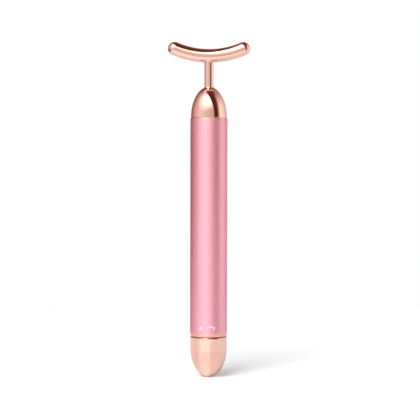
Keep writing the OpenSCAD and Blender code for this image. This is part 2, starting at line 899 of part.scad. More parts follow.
// Bullet-shaped cap, hollow, with a counterbore for the plug's flange
module end_cap() {
    flange_r = cap_bore_r + flange_w;
    color(rose_gold)
        rotate_extrude()
            polygon(concat(
                ellipse_arc(cap_r, cap_dome_h, cap_dome_h, -90, 0),
                [
                    [cap_r, cap_h - cap_chamfer],
                    [cap_r - cap_chamfer, cap_h],
                    [flange_r, cap_h],
                    [flange_r, cap_h - flange_t],
                    [cap_bore_r, cap_h - flange_t]
                ],
                ellipse_arc(cap_bore_r, cap_dome_h - cap_wall, cap_dome_h, 0, -90)
            ));
}

// Plug in the cap: its flange sits in the rim and its screw thread goes up into the collar
module cap_plug() {
    in_r = screw_root_r - plug_wall;
    foot_z = cap_dome_h + slip_gap;
    color(brass)
        difference() {
            union() {
                rotate_extrude()
                    polygon([
                        [0, foot_z],
                        [cap_bore_r - press_gap, foot_z],
                        [cap_bore_r - press_gap, cap_h - flange_t],
                        [cap_bore_r + flange_w - press_gap, cap_h - flange_t],
                        [cap_bore_r + flange_w - press_gap, cap_h],
                        [screw_root_r, cap_h],
                        [screw_root_r, plug_top],
                        [0, plug_top]
                    ]);
                thread_ridge(
                    screw_root_r - ridge_sink, screw_crest_r, screw_thread_z, screw_thread_top, tube_z
                );
            }
            translate([0, 0, foot_z - cut])
                cylinder(r = in_r, h = plug_top - plug_top_t - foot_z + cut);
            translate([0, 0, foot_z])
                cylinder(d = rivet_d + 2 * slip_gap, h = plug_top - foot_z + cut);
        }
}

// Flat rubber ring between the cap and the collar, seen as a dark line
module cap_seal() {
    color(black_rubber)
        pipe(tube_r - seal_inset, screw_root_r + press_gap, cap_h, collar_z - touch_gap);
}

module spring_seat() {
    color(steel)
        pipe(
            spring_foot_r + wire_d, rivet_d / 2 + slip_gap, plug_top, seat_top
        );
}

// Rivet that holds the spring's seat on the plug
module spring_rivet() {
    color(steel)
        rivet(plug_top - plug_top_t, seat_top);
}

// Conical spring: half a turn lies flat at each end, and the rest climbs evenly
module battery_spring() {
    sides = 8;
    r = wire_d / 2;
    steps = turn_steps * spring_turns;
    rise = spring_len - wire_d - touch_gap;
    flat_share = 0.5 / spring_turns;
    rings = [
        for (i = [0 : steps])
            let (
                s = i / steps,
                up = min(max((s - flat_share) / (1 - 2 * flat_share), 0), 1),
                coil_r = spring_foot_r + (spring_top_r - spring_foot_r) * s
            )
            coil_ring(360 * i / turn_steps, coil_r, seat_top + r + touch_gap / 2 + rise * up, r, sides)
    ];
    color(steel)
        polyhedron([for (ring = rings) each ring], skin_faces(len(rings), sides));
}

massage_bar();
head_stem();
stem_washer();
stem_nut();
shoulder_dome();
dome_seal();
handle_tube();
threaded_collar();
battery_sleeve();
conductor_strip();
contact_board();
contact_leaf();
leaf_rivet();
motor_holder();
motor_can();
motor_end_bell();
motor_magnets();
front_bush();
rear_bush();
motor_brushes();
motor_terminals();
red_lead();
black_lead();
motor_shaft();
armature_core();
armature_windings();
commutator();
eccentric_weight();
battery_cell();
battery_jacket();
end_cap();
cap_plug();
cap_seal();
spring_seat();
battery_spring();
spring_rivet();
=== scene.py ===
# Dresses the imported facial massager: a curved bar on a stem and dome, a pink tube and a screw cap.
# Lengths are in metres, in the frame of the CAD model. Z runs up the handle and -Y faces the viewer.
import json
import math

import bmesh
import bpy
from mathutils import Matrix, Vector

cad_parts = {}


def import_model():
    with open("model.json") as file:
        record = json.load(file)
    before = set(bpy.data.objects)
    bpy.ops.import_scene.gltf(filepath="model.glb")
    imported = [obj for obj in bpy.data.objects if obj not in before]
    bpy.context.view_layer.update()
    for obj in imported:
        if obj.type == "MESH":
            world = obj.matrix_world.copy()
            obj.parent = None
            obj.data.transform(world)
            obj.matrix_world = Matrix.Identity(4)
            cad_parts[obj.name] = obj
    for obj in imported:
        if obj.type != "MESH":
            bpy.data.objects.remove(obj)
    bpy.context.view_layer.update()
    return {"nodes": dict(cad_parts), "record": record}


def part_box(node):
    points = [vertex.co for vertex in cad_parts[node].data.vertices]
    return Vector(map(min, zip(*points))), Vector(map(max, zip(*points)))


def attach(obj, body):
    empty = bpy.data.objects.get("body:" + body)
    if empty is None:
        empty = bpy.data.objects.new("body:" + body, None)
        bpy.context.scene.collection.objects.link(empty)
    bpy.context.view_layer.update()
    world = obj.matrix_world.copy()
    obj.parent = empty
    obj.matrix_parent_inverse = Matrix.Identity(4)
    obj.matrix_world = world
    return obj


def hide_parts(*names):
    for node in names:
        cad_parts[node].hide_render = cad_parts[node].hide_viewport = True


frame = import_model()
MM = 0.001

# Camera, found from the outlines in the photograph
CAMERA_PLACE = (0.00061, -0.7030, 0.11493)
CAMERA_TILT = 87.19
CAMERA_ROLL = 0.114
CAMERA_LENS = 125.73
SENSOR = 36.0

# Rounds of the meshes: sides of a spun piece, steps of a small rounded edge and of a large outline
SIDES = 192
EDGE_STEPS = 6
OUTLINE_STEPS = 72
SMOOTH_ANGLE = math.radians(32)

# Sizes that no node's box gives
STEM_FILLET = 0.4 * MM
STEM_SHANK = 1.5 * MM
DOME_EDGE = 0.2 * MM
DOME_RIM = 0.75 * MM
DOME_WALL = 1.6 * MM
DOME_TOP = 4.2 * MM
SPIGOT_WALL = 1.3 * MM
SPIGOT_PLAY = 0.03 * MM
SEAL_GROOVE = 0.83 * MM
SEAL_GROOVE_HALF = 0.5 * MM
SHANK_HOLE = 1.6 * MM
TUBE_WALL = 0.5 * MM
TUBE_EDGE = 0.15 * MM
TUBE_INSET = 0.01 * MM
LIP_EDGE = 0.2 * MM
MOUTH_HEIGHT = 0.9 * MM
CAP_SIDE = 5.6 * MM
CAP_WALL = 1.4 * MM
CAP_EDGE = 0.2 * MM
FLANGE = 0.7 * MM
FLANGE_WIDTH = 0.4 * MM
PLUG_WALL = 1.2 * MM
PLUG_TOP = 1.6 * MM
RIVET_HOLE = 0.9 * MM

# The printed mark on the tube: a dot and an arrow, with angles in degrees
MARK_HEIGHT = 3.1 * MM
MARK_REACH = 5.0 * MM
MARK_STRIPS = 40
MARK_PROUD = 0.009 * MM
MARK_DOT_X = -3.8 * MM
MARK_DOT_R = 0.85 * MM
ARROW_X = 1.2 * MM
ARROW_R = 1.9 * MM
ARROW_W = 0.75 * MM
ARROW_BARB = 1.05 * MM
ARROW_TAIL = 150
ARROW_NECK = 42
ARROW_TIP = 8

# The screw thread: its pitch, radii and ridge
PITCH = 1.25 * MM
NUT_ROOT = 7.9 * MM
NUT_CREST = 7.4 * MM
SCREW_ROOT = 7.25 * MM
SCREW_CREST = 7.75 * MM
RIDGE_FOOT = 0.775 * MM
RIDGE_CREST = 0.3 * MM
RIDGE_SINK = 0.15 * MM
TURN_STEPS = 96
FADE_SHARE = 1 / 3

# Colours and roughness, matched to the photograph
ROSE_GOLD = (0.91, 0.55, 0.45)
CAP_GOLD = (0.91, 0.56, 0.47)
COLLAR_GOLD = (0.88, 0.46, 0.37)
TUBE_TOP_COLOUR = (0.91, 0.42, 0.47)
TUBE_FOOT_COLOUR = (0.90, 0.41, 0.50)
TUBE_PALE_COLOUR = (0.92, 0.46, 0.54)
TUBE_GRAZING_COLOUR = (0.80, 0.28, 0.46)
PRINT_COLOUR = (0.90, 0.58, 0.66)
# The seal is dark rubber; its red is painted reflection of the rose-gold walls of the seam
SEAL_DARK_WITH_PAINTED_REFLECTION = (0.30, 0.03, 0.012)
# How far the tube's colour blends towards rose gold at its foot
TUBE_GOLD_BLEND = 1.2 * MM
HEAD_ROUGH = 0.07
CAP_ROUGH = 0.09
TUBE_ROUGH = 0.49

# The floor: its size, colour, an even glow for the camera, and painted light that only reflections see, laid
# by direction and distance
FLOOR_R = 0.32
FLOOR_COLOUR = (0.90, 0.90, 0.90)
FLOOR_GLOW = 0.21
FLOOR_BAND = 0.23
FLOOR_BAND_LEFT = (-74.0, -38.0)
FLOOR_BAND_RIGHT = (16.0, 0.0)
FLOOR_BAND_WIDER = 32.0
FLOOR_WIDENING = (0.13, 0.18)
FLOOR_FAR = 0.24
FLOOR_FAR_SIDES = 0.07
FLOOR_RING_IN = (0.04, 0.09)
FLOOR_RING_OUT = (0.13, 0.27)
FLOOR_RING_END = 0.2

# The studio's light levels, the soft box's sharp edge as a plane, and where the lamp is, in degrees
KEY = 2.05
KEY_EDGE = (-0.73, -0.59, -0.35)
LAMP = 10.0
LAMP_AZIMUTH = -25
LAMP_ELEVATION = 46
LAMP_SPREAD = (20, 9)
BACK = 0.12
DARK = 0.03
WARM_RED = (0.14, 0.08)
WARM_BLUE = (0.035, -0.01)

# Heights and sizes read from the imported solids
bar_lo, bar_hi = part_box("massage_bar")
stem_lo, stem_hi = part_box("head_stem")
dome_lo, dome_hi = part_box("shoulder_dome")
tube_lo, tube_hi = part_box("handle_tube")
collar_lo, collar_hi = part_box("threaded_collar")
cap_lo, cap_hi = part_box("end_cap")
plug_lo, plug_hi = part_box("cap_plug")
seal_lo, seal_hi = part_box("cap_seal")
BAR_R = (bar_hi.y - bar_lo.y) / 2
BAR_END_X = bar_hi.x - BAR_R
BAR_MID_Z = bar_lo.z + BAR_R
BAR_RISE = bar_hi.z - BAR_R - BAR_MID_Z
BEND_R = (BAR_END_X ** 2 + BAR_RISE ** 2) / (2 * BAR_RISE)
BEND_Z = BAR_MID_Z + BEND_R
BAR_HALF_ANGLE = math.asin(BAR_END_X / BEND_R)
STEM_R = stem_hi.x
STEM_TOP = bar_lo.z - STEM_FILLET
STEM_FOOT = dome_hi.z
DOME_R = dome_hi.x
TUBE_R = tube_hi.x - TUBE_INSET
TUBE_IN_R = tube_hi.x - TUBE_WALL
SPIGOT_R = TUBE_IN_R - SPIGOT_PLAY
CAP_R = cap_hi.x
CAP_BORE_R = CAP_R - CAP_WALL
CAP_DOME = cap_hi.z - CAP_SIDE


# Mesh helpers

def finish_mesh(name, bm, body, nodes, material):
    """Turns bm into a smooth-shaded piece that rides on body and stands for nodes."""
    bmesh.ops.remove_doubles(bm, verts=bm.verts, dist=1e-8)
    bmesh.ops.recalc_face_normals(bm, faces=bm.faces)
    mesh = bpy.data.meshes.new(name)
    bm.to_mesh(mesh)
    bm.free()
    mesh.shade_smooth()
    mesh.set_sharp_from_angle(angle=SMOOTH_ANGLE)
    piece = bpy.data.objects.new(name, mesh)
    bpy.context.scene.collection.objects.link(piece)
    mesh.materials.append(material)
    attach(piece, body)
    if nodes:
        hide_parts(*nodes)
    return piece


def arc(mid_r, mid_z, radius_r, radius_z, start, end, steps):
    """Points of an elliptic arc in the (radius, height) plane, angles in degrees."""
    points = []
    for i in range(steps + 1):
        a = math.radians(start + (end - start) * i / steps)
        points.append((mid_r + radius_r * math.cos(a), mid_z + radius_z * math.sin(a)))
    return points


def edge_arc(corner_r, corner_z, edge, start):
    """Rounded outside corner of radius edge, running a quarter turn on from angle start."""
    turn = math.radians(start + 45)
    mid_r = corner_r - edge * math.copysign(1, math.cos(turn))
    mid_z = corner_z - edge * math.copysign(1, math.sin(turn))
    return arc(mid_r, mid_z, edge, edge, start, start + 90, EDGE_STEPS)


def spin(bm, outline, sides=SIDES):
    """Adds the closed outline of (radius, height) points to bm, spun round the Z axis."""
    rings = []
    for r, z in outline:
        if r < 1e-9:
            rings.append([bm.verts.new((0, 0, z))] * sides)
            continue
        turn = 2 * math.pi / sides
        rings.append([bm.verts.new((r * math.cos(j * turn), r * math.sin(j * turn), z)) for j in range(sides)])
    for i, ring in enumerate(rings):
        after = rings[(i + 1) % len(rings)]
        for j in range(sides):
            k = (j + 1) % sides
            corners = []
            for v in (ring[j], ring[k], after[k], after[j]):
                if v not in corners:
                    corners.append(v)
            if len(corners) > 2:
                bm.faces.new(corners)


def skin(bm, rings, closed_ends=True):
    """Joins rings of vertices one after another, and closes both ends."""
    count = len(rings[0])
    for here, after in zip(rings, rings[1:]):
        for j in range(count):
            k = (j + 1) % count
            bm.faces.new((here[j], here[k], after[k], after[j]))
    if closed_ends:
        bm.faces.new(rings[0])
        bm.faces.new(rings[-1])


def thread_ridge(bm, foot_r, tip_r, z_low, z_high, phase):
    """Adds the helical ridge of a thread, whose ends fade into the wall."""
    first = math.ceil((z_low - phase) / PITCH * TURN_STEPS)
    last = math.floor((z_high - phase) / PITCH * TURN_STEPS)
    fade = TURN_STEPS * FADE_SHARE
    rings = []
    for i in range(first, last + 1):
        a = 2 * math.pi * i / TURN_STEPS
        z = phase + PITCH * i / TURN_STEPS
        near = max(min(i - first, last - i, fade) / fade, 0.03)
        tip = foot_r + (tip_r - foot_r) * near
        corners = (
            (foot_r, z - RIDGE_FOOT / 2), (tip, z - RIDGE_CREST / 2),
            (tip, z + RIDGE_CREST / 2), (foot_r, z + RIDGE_FOOT / 2),
        )
        rings.append([bm.verts.new((r * math.cos(a), r * math.sin(a), h)) for r, h in corners])
    skin(bm, rings)


# Material helpers

def add(tree, kind, inputs=None, **settings):
    """Adds a node. inputs maps a socket's name or number to a value or to another node's output."""
    node = tree.nodes.new(kind)
    for key, value in settings.items():
        setattr(node, key, value)
    for key, value in (inputs or {}).items():
        if isinstance(value, bpy.types.NodeSocket):
            tree.links.new(value, node.inputs[key])
        else:
            node.inputs[key].default_value = value
    return node


def math_node(tree, operation, a, b=0.0):
    return add(tree, "ShaderNodeMath", {0: a, 1: b}, operation=operation).outputs[0]


def mix_colours(tree, factor, a, b):
    node = add(tree, "ShaderNodeMix", {0: factor, 6: a, 7: b}, data_type="RGBA")
    return node.outputs[2]


def noise(tree, place, scale, detail=3.0, roughness=0.55):
    inputs = {"Vector": place, "Scale": scale, "Detail": detail, "Roughness": roughness}
    return add(tree, "ShaderNodeTexNoise", inputs).outputs["Fac"]


def ramp(tree, value, low, high, to_low, to_high, smooth=False):
    """Maps value from low..high to to_low..to_high."""
    inputs = {"Value": value, "From Min": low, "From Max": high, "To Min": to_low, "To Max": to_high}
    kind = "SMOOTHSTEP" if smooth else "LINEAR"
    return add(tree, "ShaderNodeMapRange", inputs, interpolation_type=kind).outputs["Result"]


def rgba(colour, gain=1.0):
    return (colour[0] * gain, colour[1] * gain, colour[2] * gain, 1.0)


def new_surface(name):
    """A material with a Principled shader. Returns it, its tree, the shader and the place in metres."""
    material = bpy.data.materials.new(name)
    material.use_nodes = True
    tree = material.node_tree
    tree.nodes.clear()
    shader = tree.nodes.new("ShaderNodeBsdfPrincipled")
    output = tree.nodes.new("ShaderNodeOutputMaterial")
    tree.links.new(shader.outputs[0], output.inputs[0])
    place = tree.nodes.new("ShaderNodeTexCoord").outputs["Object"]
    return material, tree, shader, place


def set_rough(tree, shader, grain, low, high):
    """Roughness that goes from low to high with the grain."""
    tree.links.new(ramp(tree, grain, 0.3, 0.7, low, high), shader.inputs["Roughness"])


def set_bump(tree, shader, height, depth):
    bump = add(tree, "ShaderNodeBump", {"Height": height, "Strength": 1.0, "Distance": depth})
    tree.links.new(bump.outputs[0], shader.inputs["Normal"])


def plain_surface(name, colour, metallic, rough, swing=0.15, grain=1500.0, depth=2e-6, tone=0.06):
    """A surface with cloudy tone, uneven roughness and a fine grain. Returns the material and its shader."""
    material, tree, shader, place = new_surface(name)
    cloud = noise(tree, place, 220.0)
    fine = noise(tree, place, grain, 4.0)
    shade = mix_colours(tree, cloud, rgba(colour, 1 - tone), rgba(colour, 1 + tone))
    tree.links.new(shade, shader.inputs["Base Color"])
    set_rough(tree, shader, fine, rough * (1 - swing), rough * (1 + swing))
    shader.inputs["Metallic"].default_value = metallic
    set_bump(tree, shader, fine, depth)
    return material, shader


# Materials

def rose_gold_plate(name, colour, rough, depth):
    """Plated metal: faint clouds in the tone, and fine polishing marks."""
    material, tree, shader, place = new_surface(name)
    cloud = noise(tree, place, 130.0)
    marks = add(tree, "ShaderNodeMapping", {"Vector": place, "Scale": (1.0, 1.0, 9.0)}).outputs[0]
    fine = noise(tree, marks, 900.0, 5.0, 0.6)
    shade = mix_colours(tree, cloud, rgba(colour, 0.985), rgba(colour, 1.015))
    tree.links.new(shade, shader.inputs["Base Color"])
    set_rough(tree, shader, fine, rough * 0.8, rough * 1.2)
    shader.inputs["Metallic"].default_value = 1.0
    set_bump(tree, shader, fine, depth)
    return material


def pink_anodised():
    """Satin anodised tube, a little cooler towards the foot, blending to rose gold towards both ends, with a
    fine turned grain.
    """
    material, tree, shader, place = new_surface("satin_pink_tube")
    height = add(tree, "ShaderNodeSeparateXYZ", {0: place}).outputs[2]
    along = ramp(tree, height, tube_lo.z, tube_hi.z, 0.0, 1.0)
    tone = mix_colours(tree, along, rgba(TUBE_FOOT_COLOUR), rgba(TUBE_TOP_COLOUR))
    cloud = noise(tree, place, 90.0)
    tone = mix_colours(tree, ramp(tree, cloud, 0.3, 0.7, 0.0, 0.06), tone, rgba(TUBE_PALE_COLOUR))
    low_edge = ramp(tree, height, tube_lo.z + TUBE_GOLD_BLEND, tube_lo.z, 0.0, 0.8, True)
    high_edge = ramp(tree, height, tube_hi.z - TUBE_GOLD_BLEND / 3, tube_hi.z, 0.0, 1.0, True)
    gold_blend = math_node(tree, "MAXIMUM", low_edge, high_edge)
    tone = mix_colours(tree, gold_blend, tone, rgba(ROSE_GOLD))
    tree.links.new(tone, shader.inputs["Base Color"])
    grain = noise(tree, place, 2600.0, 5.0, 0.65)
    set_rough(tree, shader, grain, TUBE_ROUGH * 0.9, TUBE_ROUGH * 1.1)
    shader.inputs["Metallic"].default_value = 1.0
    shader.inputs["Specular Tint"].default_value = rgba(TUBE_GRAZING_COLOUR)
    shader.inputs["Coat Weight"].default_value = 0.8
    shader.inputs["Coat Roughness"].default_value = 0.4
    round_it = add(tree, "ShaderNodeTangent", direction_type="RADIAL", axis="Z").outputs[0]
    tree.links.new(round_it, shader.inputs["Tangent"])
    shader.inputs["Anisotropic"].default_value = 0.4
    shader.inputs["Anisotropic Rotation"].default_value = 0.25
    set_bump(tree, shader, grain, 1.2e-6)
    return material


def printed_mark():
    """Thin pale print, a little uneven."""
    return plain_surface("printed_pale_mark", PRINT_COLOUR, 0.0, 0.4, tone=0.1)[0]


def seam_rubber():
    """Dark rubber with a faint shine, tinted red with painted reflection of the rose-gold walls."""
    material, shader = plain_surface("seam_rubber", SEAL_DARK_WITH_PAINTED_REFLECTION, 0.0, 0.35, grain=2500.0, depth=3e-6)
    shader.inputs["Specular IOR Level"].default_value = 0.15
    return material


def circuit_board():
    """Green board: solder mask with faint copper tracks under it."""
    material, tree, shader, place = new_surface("green_circuit_board")
    tracks = add(tree, "ShaderNodeTexVoronoi", {"Vector": place, "Scale": 700.0}, feature="DISTANCE_TO_EDGE")
    line = ramp(tree, tracks.outputs["Distance"], 0.04, 0.10, 1.0, 0.0)
    tone = mix_colours(tree, line, (0.02, 0.16, 0.07, 1.0), (0.05, 0.27, 0.12, 1.0))
    tree.links.new(tone, shader.inputs["Base Color"])
    set_rough(tree, shader, noise(tree, place, 900.0), 0.25, 0.4)
    set_bump(tree, shader, line, 1e-5)
    return material


def striped(name, colour, metallic, rough, pitch, depth):
    """Surface with fine rings along Z, such as stacked sheets or wound wire, darker in the troughs: dark
    joints between sheets and painted shade in the grooves.
    """
    material, tree, shader, place = new_surface(name)
    height = add(tree, "ShaderNodeSeparateXYZ", {0: place}).outputs[2]
    wave = math_node(tree, "SINE", math_node(tree, "MULTIPLY", height, 2 * math.pi / pitch))
    groove = ramp(tree, wave, -1.0, 0.2, 0.0, 1.0)
    # painted shade: the colour darkens in the rings' troughs, partly the dark joints between stacked sheets
    tone = mix_colours(tree, groove, rgba(colour, 0.55), rgba(colour, 1.05))
    cloud = ramp(tree, noise(tree, place, 600.0), 0.3, 0.7, 0.0, 0.25)
    tone = mix_colours(tree, cloud, tone, rgba(colour, 0.8))
    tree.links.new(tone, shader.inputs["Base Color"])
    set_rough(tree, shader, noise(tree, place, 1400.0), rough * 0.8, rough * 1.2)
    shader.inputs["Metallic"].default_value = metallic
    set_bump(tree, shader, groove, depth)
    return material


def slot_materials():
    """One material for each slot of the record, for the nodes inside and for the pieces outside."""
    made = {
        "rose_gold": rose_gold_plate("polished_rose_gold", ROSE_GOLD, HEAD_ROUGH, 1.5e-7),
        "rose_gold_cap": rose_gold_plate("soft_rose_gold_cap", CAP_GOLD, CAP_ROUGH, 2e-7),
        "rose_gold_collar": rose_gold_plate("rose_gold_collar", COLLAR_GOLD, CAP_ROUGH, 2e-7),
        "pink_anodised": pink_anodised(),
        "black_rubber": seam_rubber(),
        "green_board": circuit_board(),
        "core_steel": striped("laminated_core_steel", (0.42, 0.43, 0.46), 1.0, 0.35, 0.35 * MM, 2e-5),
        "copper": striped("copper_wire", (0.72, 0.34, 0.18), 1.0, 0.3, 0.22 * MM, 4e-5),
    }
    plain = {
        "white_plastic": ((0.86, 0.86, 0.84), 0.0, 0.45), "grey_plastic": ((0.22, 0.23, 0.25), 0.0, 0.5),
        "bright_steel": ((0.70, 0.71, 0.73), 1.0, 0.22), "magnet": ((0.12, 0.12, 0.13), 0.6, 0.5),
        "brass": ((0.78, 0.60, 0.30), 1.0, 0.28), "red_insulation": ((0.55, 0.03, 0.02), 0.0, 0.35),
        "black_insulation": ((0.03, 0.03, 0.03), 0.0, 0.4), "cell_can": ((0.72, 0.73, 0.74), 1.0, 0.25),
        "cell_jacket": ((0.30, 0.31, 0.33), 0.3, 0.3),
    }
    for slot, (colour, metallic, rough) in plain.items():
        made[slot] = plain_surface("plain_" + slot, colour, metallic, rough)[0]
    return made


# Pieces

def bar_piece(material):
    """The bar: an arc of round rod with ball ends, and the small blend at the stem's head."""
    bm = bmesh.new()
    sides, along, cap_rings = 96, 120, 24
    stations = []
    for i in range(1, cap_rings):
        stations.append((-BAR_HALF_ANGLE, -math.pi / 2 * (1 - i / cap_rings)))
    for i in range(along + 1):
        stations.append((BAR_HALF_ANGLE * (2 * i / along - 1), 0.0))
    for i in range(1, cap_rings):
        stations.append((BAR_HALF_ANGLE, math.pi / 2 * i / cap_rings))
    rings = []
    for turn, lean in stations:
        mid = Vector((BEND_R * math.sin(turn), 0, BEND_Z - BEND_R * math.cos(turn)))
        ahead = Vector((math.cos(turn), 0, math.sin(turn)))
        out = Vector((math.sin(turn), 0, -math.cos(turn)))
        mid += ahead * BAR_R * math.sin(lean)
        reach = BAR_R * math.cos(lean)
        ring = []
        for j in range(sides):
            a = 2 * math.pi * j / sides
            ring.append(bm.verts.new(mid + reach * (out * math.cos(a) + Vector((0, math.sin(a), 0)))))
        rings.append(ring)
    skin(bm, rings, closed_ends=False)
    for ring, side in ((rings[0], -1), (rings[-1], 1)):
        turn = side * BAR_HALF_ANGLE
        mid = Vector((BEND_R * math.sin(turn), 0, BEND_Z - BEND_R * math.cos(turn)))
        tip = bm.verts.new(mid + side * BAR_R * Vector((math.cos(turn), 0, math.sin(turn))))
        for j in range(sides):
            bm.faces.new((ring[j], ring[(j + 1) % sides], tip))
    add_stem_blend(bm)
    return finish_mesh("massage_bar_polished", bm, "handle", ["massage_bar"], material)


def bar_underside(x, y):
    """Height of the bar's lower surface over the point (x, y) near its middle."""
    return BEND_Z - math.sqrt((BEND_R + math.sqrt(BAR_R ** 2 - y ** 2)) ** 2 - x ** 2)


def add_stem_blend(bm):
    """The fillet between the stem's head and the round underside of the bar."""
    sides, steps = 96, 8
    rings = []
    for j in range(sides):
        a = 2 * math.pi * j / sides
        far = STEM_R + STEM_FILLET
        start = (far, bar_underside(far * math.cos(a), far * math.sin(a)) + 0.02 * MM)
        middle = (STEM_R, bar_underside(STEM_R * math.cos(a), STEM_R * math.sin(a)))
        end = (STEM_R, STEM_TOP)
        ring = []
        for i in range(steps + 1):
            t = i / steps
            shares = ((1 - t) ** 2, 2 * t * (1 - t), t * t)
            r = sum(s * p[0] for s, p in zip(shares, (start, middle, end)))
            z = sum(s * p[1] for s, p in zip(shares, (start, middle, end)))
            ring.append(bm.verts.new((r * math.cos(a), r * math.sin(a), z)))
        inner = STEM_R / 2
        ring.append(bm.verts.new((inner * math.cos(a), inner * math.sin(a), STEM_TOP)))
        ring.append(bm.verts.new((inner * math.cos(a), inner * math.sin(a), middle[1] + STEM_FILLET)))
        rings.append(ring)
    skin(bm, rings + [rings[0]], closed_ends=False)


def stem_piece(material):
    """The stem, with its spigot in the bar and its shank in the dome."""
    bm = bmesh.new()
    spin(bm, [
        (0, stem_lo.z), (STEM_SHANK, stem_lo.z), (STEM_SHANK, STEM_FOOT), (STEM_R, STEM_FOOT),
        (STEM_R, STEM_TOP), (STEM_SHANK, STEM_TOP), (STEM_SHANK, stem_hi.z), (0, stem_hi.z),
    ], 96)
    return finish_mesh("stem_polished", bm, "handle", ["head_stem"], material)


def dome_piece(material):
    """The hollow dome, with the spigot that sits in the tube."""
    top = tube_hi.z
    mid = top + DOME_RIM
    land = STEM_R + STEM_FILLET / 2
    rise = dome_rise(mid)
    slope = math.atan(rise * (land / DOME_R) / (DOME_R * math.sqrt(1 - (land / DOME_R) ** 2)))
    land_r = STEM_R + STEM_FILLET * (1 - math.sin(slope))
    land_angle = math.degrees(math.acos(land_r / DOME_R))
    fillet_mid = (STEM_R + STEM_FILLET, STEM_FOOT)
    outline = [(SPIGOT_R - SPIGOT_WALL, dome_lo.z), (SPIGOT_R, dome_lo.z)]
    groove = (dome_lo.z + top) / 2
    for z, r in ((-1, SPIGOT_R), (-1, SPIGOT_R - SEAL_GROOVE), (1, SPIGOT_R - SEAL_GROOVE), (1, SPIGOT_R)):
        outline.append((r, groove + z * SEAL_GROOVE_HALF))
    outline.append((SPIGOT_R, top))
    outline += edge_arc(DOME_R, top, DOME_EDGE, -90)
    outline += arc(0, mid, DOME_R, rise, 0, land_angle, OUTLINE_STEPS)
    start = 270 - math.degrees(slope)
    outline += arc(*fillet_mid, STEM_FILLET, STEM_FILLET, start, 180, EDGE_STEPS)[1:]
    outline += [(SHANK_HOLE, STEM_FOOT), (SHANK_HOLE, STEM_FOOT - DOME_TOP)]
    in_r, in_rise = DOME_R - DOME_WALL, rise - DOME_WALL
    high = math.degrees(math.asin(min(1, (STEM_FOOT - DOME_TOP - mid) / in_rise)))
    inside = arc(0, mid, in_r, in_rise, high, 0, 24)
    outline += [(min(r, SPIGOT_R - SPIGOT_WALL), z) for r, z in inside]
    bm = bmesh.new()
    spin(bm, outline)
    return finish_mesh("dome_polished", bm, "handle", ["shoulder_dome"], material)


def dome_rise(mid):
    """Half-height of the dome's ellipse, from the height at which its fillet meets the stem."""
    rise = STEM_FOOT - mid
    for _ in range(20):
        slope = math.atan(rise * (STEM_R + STEM_FILLET / 2) / DOME_R ** 2)
        land_r = STEM_R + STEM_FILLET * (1 - math.sin(slope))
        land_z = STEM_FOOT - STEM_FILLET * math.cos(slope)
        rise = (land_z - mid) / math.sqrt(1 - (land_r / DOME_R) ** 2)
    return rise


def tube_piece(material):
    """The handle tube, with its edges broken."""
    outline = [(TUBE_IN_R, tube_lo.z)]
    outline += edge_arc(TUBE_R, tube_lo.z, TUBE_EDGE, -90)
    outline += [(TUBE_R, z) for z in spread(tube_lo.z + TUBE_EDGE, tube_hi.z - TUBE_EDGE, 60)[1:-1]]
    outline += edge_arc(TUBE_R, tube_hi.z, TUBE_EDGE, 0)
    outline.append((TUBE_IN_R, tube_hi.z))
    bm = bmesh.new()
    spin(bm, outline)
    return finish_mesh("handle_tube_satin", bm, "handle", ["handle_tube"], material)


def spread(low, high, count):
    return [low + (high - low) * i / count for i in range(count + 1)]


def collar_piece(material):
    """The collar: a lip that shows under the tube, and the thread inside."""
    lip_r = tube_hi.x - 0.05 * MM
    mouth_r = NUT_ROOT + 0.05 * MM
    outline = [(mouth_r, collar_lo.z)]
    outline += edge_arc(lip_r, collar_lo.z, LIP_EDGE, -90)
    outline += [(lip_r, tube_lo.z), (SPIGOT_R, tube_lo.z), (SPIGOT_R, collar_hi.z), (NUT_ROOT, collar_hi.z)]
    outline += [(NUT_ROOT, collar_lo.z + MOUTH_HEIGHT + 0.05 * MM), (mouth_r, collar_lo.z + MOUTH_HEIGHT)]
    bm = bmesh.new()
    spin(bm, outline)
    low = collar_lo.z + MOUTH_HEIGHT + RIDGE_FOOT / 2
    high = collar_hi.z - RIDGE_FOOT
    thread_ridge(bm, NUT_ROOT + RIDGE_SINK, NUT_CREST, low, high, tube_lo.z + PITCH / 2)
    return finish_mesh("collar_with_lip", bm, "handle", ["threaded_collar"], material)


def cap_piece(material):
    """The hollow bullet-shaped cap."""
    flange_r = CAP_BORE_R + FLANGE_WIDTH
    outline = arc(0, CAP_DOME, CAP_R, CAP_DOME, -90, 0, OUTLINE_STEPS)
    outline[0] = (0, 0)
    outline += [(CAP_R, z) for z in spread(CAP_DOME, cap_hi.z - CAP_EDGE, 8)[1:-1]]
    outline += edge_arc(CAP_R, cap_hi.z, CAP_EDGE, 0)
    outline += [(flange_r, cap_hi.z), (flange_r, cap_hi.z - FLANGE), (CAP_BORE_R, cap_hi.z - FLANGE)]
    outline += arc(0, CAP_DOME, CAP_BORE_R, CAP_DOME - CAP_WALL, 0, -90, 32)
    outline[-1] = (0, CAP_WALL)
    bm = bmesh.new()
    spin(bm, outline)
    return finish_mesh("end_cap_bullet", bm, "cap", ["end_cap"], material)


